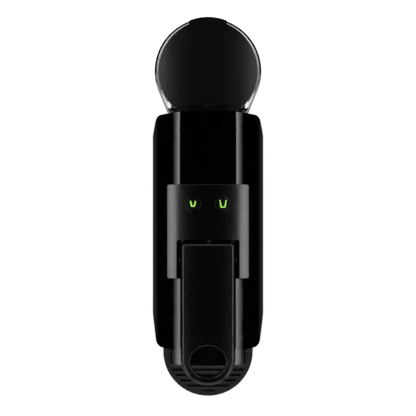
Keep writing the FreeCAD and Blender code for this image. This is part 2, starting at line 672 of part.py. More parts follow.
def extraction_plate():
    """Pierced plate that the capsule is pressed against."""
    plate = slab(18.4, -62.4, CAGE_FRONT_Y - FREE_GAP, BAY_TOP_Z + 3.1, CAGE_TOP_Z)
    recess = rod(14.6, vec(0, -60.0, CAGE_AXIS_Z), vec(0, -50.0, CAGE_AXIS_Z))
    holes = [rod(0.8, vec(0, -70, CAGE_AXIS_Z), vec(0, -50, CAGE_AXIS_Z))]
    for ring, count in ((4.5, 6), (9.0, 12)):
        for i in range(count):
            angle = 2 * math.pi * i / count
            x = ring * math.cos(angle)
            z = CAGE_AXIS_Z + ring * math.sin(angle)
            holes.append(rod(0.8, vec(x, -70, z), vec(x, -50, z)))
    return cut(plate, [recess] + holes)


def coffee_outlet():
    """Collector behind the pierced plate, a channel forwards and the spout down."""
    collector = rod(13.0, vec(0, -69.0, CAGE_AXIS_Z), vec(0, -62.5, CAGE_AXIS_Z))
    channel = slab(7.0, OUTLET_Y, -66.0, 149.0, 158.0)
    spout = post(7.5, 0, OUTLET_Y, OUTLET_BOTTOM_Z, 158.0)
    solid = fuse([collector, channel, spout])
    cavity = rod(11.2, vec(0, -67.2, CAGE_AXIS_Z), vec(0, -62.0, CAGE_AXIS_Z))
    way = slab(4.6, OUTLET_Y, -65.0, 151.0, 156.0)
    bore = post(4.6, 0, OUTLET_Y, OUTLET_BOTTOM_Z - 1, 156.0)
    return cut(solid, [cavity, way, bore])


def capsule_cage():
    block = slab(CAGE_HALF, CAGE_FRONT_Y, CAGE_REAR_Y, CAGE_BOTTOM_Z, CAGE_TOP_Z)
    edges = [e for e in block.Edges if e.BoundBox.YLength > 20 and e.BoundBox.ZMax < 150]
    block = block.makeFillet(7.0, edges)
    ribs = [box(s * 18.3 - 2.0, s * 18.3 + 2.0, CAGE_FRONT_Y, CAGE_REAR_Y, 152.0, 156.0) for s in (-1, 1)]
    seat = Part.makeCone(15.3, 12.2, 20.0, vec(0, CAGE_FRONT_Y, CAGE_AXIS_Z), Y_AXIS)
    way = rod(3.0, vec(0, -45, CAGE_AXIS_Z), vec(0, -30, CAGE_AXIS_Z))
    pin_y = LEVER_AXIS_Y - CAGE_PIN_BACK
    pin_z = LEVER_AXIS_Z - CAGE_PIN_DROP
    bore = rod(SHAFT_R, vec(-30, pin_y, pin_z), vec(30, pin_y, pin_z))
    return cut(fuse([block] + ribs), [seat, way, bore])


def cage_pins():
    pin_y = LEVER_AXIS_Y - CAGE_PIN_BACK
    pin_z = LEVER_AXIS_Z - CAGE_PIN_DROP
    pin = rod(SHAFT_R, vec(14.0, pin_y, pin_z), vec(CAM_X + CAM_THICK + 0.5, pin_y, pin_z))
    return pair(pin.cut(rod(15.3, vec(0, CAGE_FRONT_Y, CAGE_AXIS_Z), vec(0, CAGE_REAR_Y, CAGE_AXIS_Z))))


def piercing_blades():
    """Three short blades on the cage's floor."""
    blades = []
    for i in range(3):
        angle = math.radians(90 + 120 * i)
        x = 7.0 * math.cos(angle)
        z = CAGE_AXIS_Z + 7.0 * math.sin(angle)
        blades.append(Part.makeCone(0.3, 1.4, 6.0, vec(x, -44.0, z), Y_AXIS))
    return Part.makeCompound(blades)


def cage_seal():
    """Rubber lip on the rim of the cage, in front of its seat."""
    return tube(16.3, 15.4, vec(0, CAGE_FRONT_Y - 0.2, CAGE_AXIS_Z), vec(0, CAGE_FRONT_Y, CAGE_AXIS_Z))


def injector_tube():
    """Pipe on the cage that slides in the heater's sleeve."""
    return tube(3.0, 1.6, vec(0, -38.0, CAGE_AXIS_Z), vec(0, 0.0, CAGE_AXIS_Z))


def injector_sleeve():
    return tube(5.5, 3.0 + PIN_CLEAR, vec(0, -8.0, CAGE_AXIS_Z), vec(0, 30.0, CAGE_AXIS_Z))


# ---------------------------------------------------------------- water and heat

def thermoblock():
    """Cast heater block with cooling grooves and two pipe bosses."""
    block = slab(21.0, 30.1, 62.0, 136.0, 178.0)
    grooves = [slab(22.0, y, y + 2.0, 172.0, 180.0) for y in (36, 42, 48, 54)]
    bore = rod(3.0, vec(0, 20, CAGE_AXIS_Z), vec(0, 40, CAGE_AXIS_Z))
    inlet = post(4.5, 12, 46, 128.0, 136.0)
    inlet_bore = post(2.2, 12, 46, 127.0, 150.0)
    ears = [box(s * 22.4 - 1.6, s * 22.4 + 1.6, 43, 49, 140, 144) for s in (-1, 1)]
    return cut(fuse([block, inlet] + ears), grooves + [bore, inlet_bore])


def thermal_fuses():
    return pair(rod(2.4, vec(14, 32, 180.5), vec(14, 44, 180.5)))


def heater_bracket():
    """Two posts from the inner floor that carry the heater."""
    legs = [box(s * 22.7 - 1.3, s * 22.7 + 1.3, 42, 50, 26.0, 139.9) for s in (-1, 1)]
    bar = slab(22.0, 46, 50, 26.0, 30.0)
    return fuse(legs + [bar])


def pump_body():
    body = post(9.0, 0, PUMP_Y, 40.0, 118.0)
    outlet = post(3.6, 0, PUMP_Y, 118.0, 126.0)
    inlet = post(3.6, 0, PUMP_Y, 32.0, 40.0)
    bore = post(5.0 + PIN_CLEAR, 0, PUMP_Y, 46.0, 108.0)
    way = post(1.8, 0, PUMP_Y, 30.0, 130.0)
    return cut(fuse([body, outlet, inlet]), [bore, way])


def pump_coil():
    block = box(-17, 17, PUMP_Y - 16, PUMP_Y + 16, 56.0, 96.0)
    edges = [e for e in block.Edges if e.BoundBox.ZLength > 30]
    block = block.makeFillet(4.0, edges)
    terminals = [box(x - 3, x + 3, PUMP_Y + 16, PUMP_Y + 20, 84, 86) for x in (-7, 7)]
    return fuse([block] + terminals).cut(post(9.0 + FIT_GAP, 0, PUMP_Y, 50, 100))


def pump_piston():
    solid = post(5.0, 0, PUMP_Y, 50.0, 82.0)
    return solid.cut(post(1.8, 0, PUMP_Y, 49.0, 83.0))


def pump_spring():
    return spring(vec(0, PUMP_Y, 83.0), pitch=3.6, height=24.0, radius=4.0, wire_r=0.6)


def pump_mounts():
    """Rubber rings that hold the pump clear of its cradle."""
    lower = tube(14.0, 9.0, vec(0, PUMP_Y, 44.0), vec(0, PUMP_Y, 52.0))
    upper = tube(14.0, 9.0, vec(0, PUMP_Y, 100.0), vec(0, PUMP_Y, 108.0))
    return Part.makeCompound([lower, upper])


def pump_cradle():
    """Two rings round the pump's mounts on a pair of uprights that stand on the inner floor."""
    rings = [tube(17.0, 14.0, vec(0, PUMP_Y, z), vec(0, PUMP_Y, z + 4.0)) for z in (46.0, 102.0)]
    arms = [box(s * 17.2 - 1.2, s * 17.2 + 1.2, PUMP_Y - 4, PUMP_Y + 4, 26.0, 106.0) for s in (-1, 1)]
    solid = fuse(rings + arms)
    clear = box(-17.3, 17.3, PUMP_Y - 16.3, PUMP_Y + 20.5, 55.7, 96.3)
    feet = [box(s * 20.0 - 4.0, s * 20.0 + 4.0, PUMP_Y - 4, PUMP_Y + 4, 26.0, 28.0) for s in (-1, 1)]
    sides = [box(s * 18.6 - 1.2, s * 18.6 + 1.2, PUMP_Y - 4, PUMP_Y + 4, 26.0, 106.0) for s in (-1, 1)]
    return fuse([solid.cut(clear)] + feet + sides)


def flow_meter():
    body = post(METER_R, METER_X, METER_Y, 118.0, 132.0)
    room = post(METER_R - 1.8, METER_X, METER_Y, 120.0, 130.0)
    pin_lower = post(1.0, METER_X, METER_Y, 120.0, 130.0)
    inlet = rod(3.0, vec(METER_X, METER_Y + 10.0, 125), vec(METER_X, METER_Y + 20.0, 125))
    inlet_way = rod(1.6, vec(METER_X, METER_Y + 8.0, 125), vec(METER_X, METER_Y + 21.0, 125))
    outlet = rod(3.0, vec(METER_X + 10.0, METER_Y, 125), vec(METER_X + 17.0, METER_Y, 125))
    outlet_way = rod(1.6, vec(METER_X + 8.0, METER_Y, 125), vec(METER_X + 19.0, METER_Y, 125))
    shell = cut(fuse([body, inlet, outlet]), [room, inlet_way, outlet_way])
    return fuse([shell, pin_lower])


def flow_turbine():
    hub = post(3.0, METER_X, METER_Y, 121.5, 128.5)
    blades = []
    for i in range(6):
        blade = box(METER_X + 2.0, METER_X + 8.6, METER_Y - 0.6, METER_Y + 0.6, 122.0, 128.0)
        blade.rotate(vec(METER_X, METER_Y, 0), Z_AXIS, 60 * i)
        blades.append(blade)
    return fuse([hub] + blades).cut(post(1.0 + PIN_CLEAR, METER_X, METER_Y, 120, 130))


def supply_hose():
    """From the tank seat to the flow meter."""
    points = [vec(0, VALVE_Y, 21.6), vec(0, VALVE_Y, 12.2), vec(-22, 87, 12.6), vec(-31, 67, 14),
              vec(-32, 63, 60), vec(-32, 60, 122), vec(METER_X, 51, 125), vec(METER_X, METER_Y + 20.6, 125)]
    return hose(points, 3.4, 2.0)


def pump_hose():
    """From the flow meter round to the pump's inlet below."""
    points = [vec(METER_X + 17.6, METER_Y, 125), vec(1, METER_Y, 125), vec(8, 26, 114), vec(8.4, 28, 60),
              vec(7, 36, 20), vec(0, PUMP_Y, 18), vec(0, PUMP_Y, 31.4)]
    return hose(points, 3.0, 1.8)


def heater_hose():
    """From the pump's outlet up into the heater."""
    points = [vec(0, PUMP_Y, 126.6), vec(0, PUMP_Y, 132.6), vec(12, 66, 131), vec(18, 58, 121),
              vec(12, 46, 116.5), vec(12, 46, 127.4)]
    return hose(points, 2.2, 1.3)


def water_hoses():
    return Part.makeCompound([supply_hose(), pump_hose(), heater_hose()])


# ---------------------------------------------------------------- base

def base_plate():
    """Floor of the machine: square under the shell, round under the tank."""
    body = plan(0, FOOT_H, BASE_TOP_Z).common(slab(WIDE, BAY_BACK_Y, 90, 0, 10))
    under_tank = round_back(SUPPORT_R, SUPPORT_Y, 78.0, FOOT_H, BASE_TOP_Z)
    lip = plan(SHELL_WALL + FIT_GAP, BASE_TOP_Z, 12.0).cut(plan(SHELL_WALL + 2.4, 0, 14.0))
    lip = lip.common(slab(WIDE, 12.2, 76.0, 0, 20))
    rim = plan(0, BASE_TOP_Z, SHELL_BOTTOM_Z - FIT_GAP).cut(plan(SHELL_WALL, 0, 14.0))
    rim = rim.common(slab(WIDE, BAY_BACK_Y, 76.0, 0, 20))
    deck = slab(37.0, 12.2, 74.0, BASE_TOP_Z, SHELL_BOTTOM_Z)
    holes = [post(SCREW_R + PIN_CLEAR, x, y, 0, 30) for x, y in SCREW_SPOTS]
    return cut(fuse([body, under_tank, lip, rim, deck]), holes)


def base_screws():
    return Part.makeCompound([screw(x, y, 1.3, 9.0) for x, y in SCREW_SPOTS])


def rubber_feet():
    return Part.makeCompound([Part.makeCone(5.6, 6.4, FOOT_H, vec(x, y, 0), Z_AXIS) for x, y in FOOT_SPOTS])


def chassis():
    """Inner floor over the base plate, with the drawer's side guides and a rear bulkhead."""
    guides = [box(s * 36.6 - 1.0, s * 36.6 + 1.0, -58.0, 12.0, BASE_TOP_Z, 141.8) for s in (-1, 1)]
    bulkhead = slab(37.6, 9.5, 12.0, BASE_TOP_Z, 116.0)
    shelf = slab(37.0, 12.0, 73.0, 24.0, 26.0)
    posts = [post(3.4, x, y, 8.0, 24.0) for x, y in SCREW_SPOTS[:4]]
    ways = [box(-6, 18, 20, 64, 20, 30), box(-36.5, -27.5, 56, 74, 20, 30)]
    bores = [post(SCREW_R, x, y, 7.0, 14.0) for x, y in SCREW_SPOTS[:4]]
    return cut(fuse(guides + [bulkhead, shelf] + posts), ways + bores)


def tank_support():
    """Hollow foot under the tank with a flat top."""
    outer = round_back(SUPPORT_R, SUPPORT_Y, 86.2, BASE_TOP_Z, SUPPORT_TOP_Z)
    hollow = round_back(SUPPORT_R - 2.5, SUPPORT_Y, 83.0, BASE_TOP_Z - 1, SUPPORT_TOP_Z - 3.0)
    seat = post(12.6, 0, VALVE_Y, 20, 50)
    gland = rod(6.0 + FIT_GAP, vec(-14, 140, 18), vec(-14, 175, 18))
    posts = [post(3.4, x, y, BASE_TOP_Z, SUPPORT_TOP_Z - 3.0) for x, y in SCREW_SPOTS[4:]]
    bores = [post(SCREW_R, x, y, 5.0, 14.0) for x, y in SCREW_SPOTS[4:]]
    return cut(fuse([outer.cut(hollow)] + posts), [seat, gland] + bores)


def tank_seat():
    """Round socket that the tank's valve drops into."""
    cup = post(12.5, 0, VALVE_Y, 26.0, SUPPORT_TOP_Z)
    room = post(9.4, 0, VALVE_Y, 29.0, 50.0)
    spigot = post(3.2, 0, VALVE_Y, 22.0, 26.0)
    probe = post(1.4, 0, VALVE_Y, 29.0, 31.0)
    ways = [post(2.0, 0, VALVE_Y, 10.0, 27.0)]
    ways += [post(0.7, s * 2.2, VALVE_Y, 26.0, 30.0) for s in (-1, 1)]
    return cut(fuse([cup.cut(room), spigot, probe]), ways)


def seat_seal():
    return tube(9.4, 8.9, vec(0, VALVE_Y, 33.0), vec(0, VALVE_Y, 34.6))


def cord_gland():
    """Ring in the rear of the foot where the cord would come out."""
    collar = rod(6.0, vec(-14, 152, 18), vec(-14, 161.4, 18))
    inner = rod(7.2, vec(-14, 149.5, 18), vec(-14, 152, 18))
    return fuse([collar, inner]).cut(rod(3.6, vec(-14, 140, 18), vec(-14, 175, 18)))


def power_board():
    return box(-37.2, -35.6, 14.0, 74.0, 40.0, 112.0).cut(box(-40, -30, 52, 72, 90, 120))


def board_parts():
    """Transformer, relay, capacitor and terminal block on the power board."""
    x = -35.6
    parts = [box(x, x + 12, 18, 34, 46, 62), box(x, x + 9, 18, 30, 68, 84),
             rod(5.0, vec(x, 44, 52), vec(x + 9, 44, 52)), box(x, x + 7, 17, 33, 92, 100)]
    return Part.makeCompound(parts)


# ---------------------------------------------------------------- tank

def tank_body():
    outer = tank_outline(0, TANK_BOTTOM_Z, TANK_TOP_Z)
    inner = tank_outline(TANK_WALL, TANK_BOTTOM_Z + 2.0, TANK_TOP_Z + 1)
    neck = post(8.2, 0, VALVE_Y, 32.0, TANK_BOTTOM_Z + 2.0)
    neck_way = post(5.6, 0, VALVE_Y, 31.0, TANK_BOTTOM_Z + 3.0)
    step = slab(HINGE_STEP_HALF, TANK_FRONT_Y - 1, TANK_FRONT_Y + 3, TANK_TOP_Z - HINGE_STEP, FAR_TOP)
    return cut(fuse([outer.cut(inner), neck]), [neck_way, step])


def tank_lid():
    """Arched cover inside the tank's rim, with a finger tab at the rear and a recess for its hinge."""
    def disc(radius, y0, y1, z0):
        return post(radius, 0, TANK_Y, z0, FAR_TOP).common(slab(WIDE, y0, y1, z0, FAR_TOP))

    def arch_bar(radius):
        axis_z = LID_TOP_Z - LID_ARCH_R
        return rod(radius, vec(0, SHELL_REAR_Y, axis_z), vec(0, FAR_REAR, axis_z))

    wall_y = TANK_FRONT_Y + TANK_WALL
    cover = disc(LID_R, wall_y + FREE_GAP, FAR_REAR, TANK_TOP_Z - LID_RIM_DEPTH)
    front = disc(LID_R, LID_FRONT_Y, wall_y + 1.0, LID_UNDER_Z)
    tab = disc(LID_TAB_R, TANK_Y, FAR_REAR, TANK_TOP_Z + 0.5).common(
        slab(LID_TAB_HALF, TANK_Y, FAR_REAR, TANK_BOTTOM_Z, FAR_TOP))
    hollow = disc(LID_R - LID_RIM, wall_y + 4.0, FAR_REAR, TANK_BOTTOM_Z).common(
        arch_bar(LID_ARCH_R - LID_THICK))
    recess = slab(LID_RECESS_HALF, SHELL_REAR_Y, LID_RECESS_Y, TANK_BOTTOM_Z, FAR_TOP)
    solid = fuse([cover, front, tab]).common(arch_bar(LID_ARCH_R))
    return cut(solid, [hollow, recess, hinge_rod(LID_PIN_R + PIN_CLEAR, LID_PIN_HALF + 0.5)])


def hinge_rod(radius, half):
    """A bar along the lid's hinge line."""
    return rod(radius, vec(-half, LID_HINGE_Y, LID_HINGE_Z), vec(half, LID_HINGE_Y, LID_HINGE_Z))


def lid_hinge():
    """Block on the tank's front wall, filling the lid's recess, with a hinge pin at each end."""
    block = slab(LID_RECESS_HALF - 0.6, LID_FRONT_Y - 0.8, LID_RECESS_Y - 0.7,
                 TANK_TOP_Z - HINGE_STEP, LID_TOP_Z - 1.2)
    return fuse([block, hinge_rod(LID_PIN_R, LID_PIN_HALF)])


def valve_housing():
    return tube(5.6, 3.2, vec(0, VALVE_Y, 33.0), vec(0, VALVE_Y, 46.0))


def valve_plunger():
    stem = post(1.2, 0, VALVE_Y, 32.0, 46.4)
    disc = post(2.9, 0, VALVE_Y, 46.4, 48.0)
    return fuse([stem, disc])


def valve_spring():
    return spring(vec(0, VALVE_Y, 34.5), pitch=2.0, height=9.0, radius=2.2, wire_r=0.45)


# ---------------------------------------------------------------- drawer and grids

def drip_tray():
    """Drawer floor: a round basin in front, a narrower tongue under the container."""
    front = round_front(TRAY_HALF - 0.3, TRAY_Y, BAY_BACK_Y - FREE_GAP - 0.2, TRAY_BOTTOM_Z, TRAY_TOP_Z)
    tongue = slab(DRAWER_HALF, BAY_BACK_Y - 2.0, DRAWER_REAR_Y, TRAY_BOTTOM_Z, TRAY_TOP_Z)
    basin = round_front(TRAY_HALF - 2.7, TRAY_Y, BAY_BACK_Y - 4.0, TRAY_BOTTOM_Z + 2.2, TRAY_TOP_Z + 1)
    ledge = round_front(TRAY_HALF - 1.5, TRAY_Y, -82.0, TRAY_TOP_Z - 2.0, TRAY_TOP_Z + 1)
    rear_basin = slab(DRAWER_HALF - 2.4, BAY_BACK_Y + 2.0, DRAWER_REAR_Y - 2.4,
                      TRAY_BOTTOM_Z + 2.2, TRAY_TOP_Z + 1)
    gate = slab(12.0, BAY_BACK_Y - 5.0, BAY_BACK_Y + 3.0, TRAY_BOTTOM_Z + 3.0, TRAY_TOP_Z - 8.0)
    return cut(fuse([front, tongue]), [basin, ledge, rear_basin, gate])


def tray_pads():
    pads = []
    for x, y in ((-22.0, -140.0), (22.0, -140.0), (-30.0, -84.0), (30.0, -84.0)):
        pads.append(post(4.5, x, y, 0.2, TRAY_BOTTOM_Z))
    return Part.makeCompound(pads)


def capsule_container():
    """Bin for used capsules; its front is the face of the drawer."""
    bin_outer = slab(32.5, BAY_BACK_Y + 1.0, DRAWER_REAR_Y - 2.6, TRAY_TOP_Z, CONTAINER_TOP_Z)
    bin_inner = slab(30.5, BAY_BACK_Y + 3.0, DRAWER_REAR_Y - 4.6, TRAY_TOP_Z + 2.0, CONTAINER_TOP_Z + 10)
    face = slab(DRAWER_HALF, BAY_BACK_Y, BAY_BACK_Y + 2.4, TRAY_TOP_Z + FIT_GAP, FRONT_TOP_Z)
    drains = []
    for x in (-18, -9, 0, 9, 18):
        drains.append(box(x - 1.5, x + 1.5, -50, -8, TRAY_TOP_Z - 1, TRAY_TOP_Z + 3))
    grip = rod(16.0, vec(0, -75.0, 104.0), vec(0, -50.0, 104.0)).common(
        slab(WIDE, BAY_BACK_Y - 1, BAY_BACK_Y + 1.2, 88, 100))
    return cut(fuse([bin_outer, face]), [bin_inner, grip] + drains)


def drip_grid():
    """Lower round grid over the drip tray."""
    plate = round_front(TRAY_HALF - 1.9, TRAY_Y, -82.4, TRAY_TOP_Z - 1.7, TRAY_TOP_Z + 1.2)
    field = round_front(TRAY_HALF - 6.0, TRAY_Y, -86.0, 10, 40)
    holes = []
    for i in range(14):
        y = -156.0 + 5.2 * i
        holes.append(slab(WIDE, y - 1.2, y + 1.2, 10, 40).common(field))
    return cut(plate, holes)


def support_bracket():
    """Upright on the drawer that carries the folding cup support."""
    wall = slab(38.0, -69.0, BAY_BACK_Y - 0.5, TRAY_TOP_Z, 45.0)
    cheeks = [box(s * 37.0 - 1.6, s * 37.0 + 1.6, CUP_HINGE_Y - 4.0, -66.0, TRAY_TOP_Z, 50.6)
              for s in (-1, 1)]
    trunnions = [rod(1.5, vec(s * 29.6, CUP_HINGE_Y, CUP_HINGE_Z), vec(s * 36.0, CUP_HINGE_Y, CUP_HINGE_Z))
                 for s in (-1, 1)]
    window = slab(26.0, -80, -60, 28.0, 40.0)
    return cut(fuse([wall] + cheeks + trunnions), [window])


def cup_support_rim():
    """Shallow round dish of the folding cup support, drained at the rear, with its hinge arms."""
    outer = round_front(TRAY_HALF, TRAY_Y, -82.0, CUP_TOP_Z - CUP_THICK, CUP_TOP_Z)
    inner = round_front(TRAY_HALF - CUP_RIM, TRAY_Y, -82.0 - CUP_RIM, CUP_TOP_Z - CUP_THICK + CUP_FLOOR, 100)
    drains = [box(x - 4.0, x + 4.0, -90.0, -86.5, 40, 48) for x in (-24, -12, 0, 12, 24)]
    arms = [box(s * 32.4 - 2.4, s * 32.4 + 2.4, -82.5, CUP_HINGE_Y, CUP_HINGE_Z - 2.2, CUP_TOP_Z - 0.2)
            for s in (-1, 1)]
    knuckles = pair(rod(2.2, vec(30.0, CUP_HINGE_Y, CUP_HINGE_Z), vec(34.8, CUP_HINGE_Y, CUP_HINGE_Z))).Solids
    bore = rod(1.5 + PIN_CLEAR, vec(-50, CUP_HINGE_Y, CUP_HINGE_Z), vec(50, CUP_HINGE_Y, CUP_HINGE_Z))
    return cut(fuse([outer.cut(inner)] + arms + knuckles), [bore] + drains)


def cup_support_grid():
    """Slotted plate inside the rim."""
    plate = round_front(TRAY_HALF - CUP_RIM - FIT_GAP, TRAY_Y, -82.0 - CUP_RIM - FIT_GAP,
                        CUP_TOP_Z - 0.4 - GRID_THICK, CUP_TOP_Z - 0.4)
    studs = [post(2.0, s * 30.0, y, CUP_TOP_Z - CUP_THICK + CUP_FLOOR, CUP_TOP_Z - 0.6)
             for s in (-1, 1) for y in (-92.0, -132.0)]
    field = round_front(TRAY_HALF - CUP_RIM - 1.0, TRAY_Y, -82.0 - CUP_RIM - 1.0, 40, 60)
    slots = []
    for i in range(SLOT_COUNT):
        y = SLOT_FIRST_Y + SLOT_PITCH * i
        slots.append(slab(WIDE, y - SLOT_WIDTH / 2, y + SLOT_WIDTH / 2, 40, 60).common(field))
    return fuse([plate.cut(Part.makeCompound(slots))] + studs)


def build():
    small = icon(-1, ICON_SMALL_HALF, ICON_SMALL_H)
    large = icon(1, ICON_LARGE_HALF, ICON_LARGE_H)
    return {
        "outer_shell": outer_shell(),
        "front_frame": front_frame(),
        "head_floor": head_floor(),
        "head_nose": head_nose(),
        "control_panel": control_panel(),
        "button_small_cup": button(-1, small),
        "button_large_cup": button(1, large),
        "icon_small_cup": small,
        "icon_large_cup": large,
        "button_board": button_board(),
        "button_switches": button_switches(),
        "board_frame": board_frame(),
        "lever": lever_shell(),
        "lever_liner": lever_liner(),
        "cam_shaft": cam_shaft(),
        "brew_frame": brew_frame(),
        "cage_rails": cage_rails(),
        "extraction_plate": extraction_plate(),
        "coffee_outlet": coffee_outlet(),
        "capsule_cage": capsule_cage(),
        "cage_pins": cage_pins(),
        "piercing_blades": piercing_blades(),
        "cage_seal": cage_seal(),
        "injector_tube": injector_tube(),
        "injector_sleeve": injector_sleeve(),
        "thermoblock": thermoblock(),
        "thermal_fuses": thermal_fuses(),
        "heater_bracket": heater_bracket(),
        "pump_body": pump_body(),
        "pump_coil": pump_coil(),
        "pump_piston": pump_piston(),
        "pump_spring": pump_spring(),
        "pump_mounts": pump_mounts(),
        "pump_cradle": pump_cradle(),
        "flow_meter": flow_meter(),
        "flow_turbine": flow_turbine(),
        "water_hoses": water_hoses(),
        "base_plate": base_plate(),
        "base_screws": base_screws(),
        "rubber_feet": rubber_feet(),
        "chassis": chassis(),
        "tank_support": tank_support(),
        "tank_seat": tank_seat(),
        "seat_seal": seat_seal(),
        "cord_gland": cord_gland(),
        "power_board": power_board(),
        "board_parts": board_parts(),
        "tank_body": tank_body(),
        "tank_lid": tank_lid(),
        "lid_hinge": lid_hinge(),
        "valve_housing": valve_housing(),
        "valve_plunger": valve_plunger(),
        "valve_spring": valve_spring(),
        "drip_tray": drip_tray(),
        "tray_pads": tray_pads(),
        "capsule_container": capsule_container(),
        "drip_grid": drip_grid(),
        "support_bracket": support_bracket(),
        "cup_support_rim": cup_support_rim(),
        "cup_support_grid": cup_support_grid(),
    }


os.makedirs(OUT, exist_ok=True)
for name, shape in build().items():
    shape.exportStep(os.path.join(OUT, name + ".step"))
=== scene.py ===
import bpy
import json
import math
from mathutils import Matrix, Vector

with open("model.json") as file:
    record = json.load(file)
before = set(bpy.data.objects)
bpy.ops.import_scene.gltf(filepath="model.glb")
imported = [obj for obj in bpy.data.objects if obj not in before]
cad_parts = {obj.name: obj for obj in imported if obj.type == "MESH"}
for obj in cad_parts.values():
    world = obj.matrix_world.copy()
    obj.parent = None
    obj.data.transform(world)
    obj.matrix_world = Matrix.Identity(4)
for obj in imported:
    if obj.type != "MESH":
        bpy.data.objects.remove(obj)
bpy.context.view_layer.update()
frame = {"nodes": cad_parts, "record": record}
nodes = frame["nodes"]
scene = bpy.context.scene

# ---- driving values, in metres ----
MM = 0.001
CAMERA_HEIGHT = 0.680
CAMERA_Y = 0.015
SENSOR = 36.0
LENS = 57.2
LIGHT_DISTANCE = 0.75
LIGHT_TARGET = Vector((0.0, 0.0, 0.19))
SIDE_STRIPS = [             # nearest and farthest angle from straight up, radiance
    (28.2, 30.2, 6.0),
    (30.2, 32.4, 4.4),
    (32.4, 34.8, 2.8),
    (34.8, 37.4, 1.5),
    (37.4, 40.0, 0.6),
]
STRIP_LENGTH = 1.6
FILL_ANGLES = (55.0, 82.0)
FILL_LENGTH = 0.45
FILL_RADIANCE = 0.5
END_RADIANCE = 0.8
SKY_GLOW = 0.012               # of the dark studio overhead
TABLE_GLOW = 0.50              # of the pale room below the horizon, mirrored by upright faces
SIDE_SHARE = 0.22              # of that glow straight to the left and right
SIDE_SPREAD = (0.35, 0.60)     # how far a direction leans to the front or rear before it glows in full
TABLE_SINES = (-0.34, -0.14)   # sines of the elevations between which the pale room gives way to the dark
TABLE_SIZE = 40.0
TABLE_ROUGHNESS = 0.6
FLOOR_GLOW = 0.75
ICON_GLOW = 1.0
NOISE_LOW = 0.35               # noise seldom goes below this
NOISE_HIGH = 0.65              # or above this
NOISE_ROUGHNESS = 0.55
MASK_SAMPLES = 4
EDGE_WIDTH = 0.5 * MM
EDGE_COSINES = (0.86, 0.995)   # of the turn within that width: fully rubbed, not rubbed
# Painted shade: moulded plastics get a darker colour in slots and corners where ambient occlusion is low.
PAINTED_SHADE_REACH = 4 * MM         # width of slots and corners darkened with painted shade
PAINTED_SHADE_OPENNESS = (0.25, 0.8)   # share of open surroundings: full painted shade, no painted shade
CREVICE_SHADE = 0.25
SCRATCH_SIZE = 0.35 * MM
SCRATCH_SPREAD = (-0.08, 0.10)   # change in a metal's roughness between its smooth and scratched lines
TANK_COLOUR = (0.93, 0.95, 0.96, 1.0)
TANK_IOR = 1.49
TANK_GLOSS = 0.35
TANK_TINT_DEPTH = 0.09         # length of clear plastic that halves the light, seen edge-on
HOSE_SCATTER = (2 * MM, 2 * MM, 1.8 * MM)
TRACK_SPACING = 3 * MM
TRACK_EDGES = (0.04, 0.09)     # share of that spacing over which a track fades into plain board
GREY_COOLNESS = 1.06           # blue of a grey, relative to its red


# ---------------------------------------------------------------- node helpers

def new_material(name):
    """A material with a Principled shader: returns the material, its tree and the shader."""
    material = bpy.data.materials.new(name)
    material.use_nodes = True
    tree = material.node_tree
    return material, tree, tree.nodes["Principled BSDF"]


def link(tree, source, output, target, socket):
    tree.links.new(source.outputs[output], target.inputs[socket])


def coordinates(tree, stretch=(1.0, 1.0, 1.0)):
    """The piece's own coordinates in metres, stretched along each axis."""
    place = tree.nodes.new("ShaderNodeTexCoord")
    mapping = tree.nodes.new("ShaderNodeMapping")
    mapping.inputs["Scale"].default_value = stretch
    link(tree, place, "Object", mapping, "Vector")
    return mapping


def noise(tree, size, detail=4.0, stretch=(1.0, 1.0, 1.0), rough=NOISE_ROUGHNESS):
    """Noise whose features measure about size metres."""
    texture = tree.nodes.new("ShaderNodeTexNoise")
    texture.inputs["Scale"].default_value = 1.0 / size
    texture.inputs["Detail"].default_value = detail
    texture.inputs["Roughness"].default_value = rough
    link(tree, coordinates(tree, stretch), "Vector", texture, "Vector")
    return texture


def ranged(tree, source, output, low, high, start=NOISE_LOW, end=NOISE_HIGH):
    """Maps start to end onto low to high; returns the output."""
    node = tree.nodes.new("ShaderNodeMapRange")
    node.inputs["From Min"].default_value = start
    node.inputs["From Max"].default_value = end
    node.inputs["To Min"].default_value = low
    node.inputs["To Max"].default_value = high
    link(tree, source, output, node, "Value")
    return node.outputs["Result"]


def patches(tree, size, detail, low=0.0, high=1.0, rough=NOISE_ROUGHNESS):
    """Soft patches about size metres across, going from low to high."""
    return ranged(tree, noise(tree, size, detail, rough=rough), "Fac", low, high)


def add_bump(tree, shader, height, distance, strength):
    """A bump of the given depth in metres."""
    bump = tree.nodes.new("ShaderNodeBump")
    bump.inputs["Distance"].default_value = distance
    bump.inputs["Strength"].default_value = strength
    tree.links.new(height, bump.inputs["Height"])
    link(tree, bump, "Normal", shader, "Normal")


def edge_mask(tree):
    """1 where a sharp edge is near, 0 on flat faces."""
    bevel = tree.nodes.new("ShaderNodeBevel")
    bevel.samples = MASK_SAMPLES
    bevel.inputs["Radius"].default_value = EDGE_WIDTH
    geometry = tree.nodes.new("ShaderNodeNewGeometry")
    dot = tree.nodes.new("ShaderNodeVectorMath")
    dot.operation = "DOT_PRODUCT"
    link(tree, bevel, "Normal", dot, 0)
    link(tree, geometry, "Normal", dot, 1)
    return ranged(tree, dot, "Value", 1.0, 0.0, *EDGE_COSINES)


def painted_shade_mask(tree):
    """1 deep in slots and corners narrower than the reach, where painted shade darkens the colour; 0 on open
    faces.
    """
    shade = tree.nodes.new("ShaderNodeAmbientOcclusion")
    shade.samples = MASK_SAMPLES
    shade.inputs["Distance"].default_value = PAINTED_SHADE_REACH
    return ranged(tree, shade, "AO", 1.0, 0.0, *PAINTED_SHADE_OPENNESS)


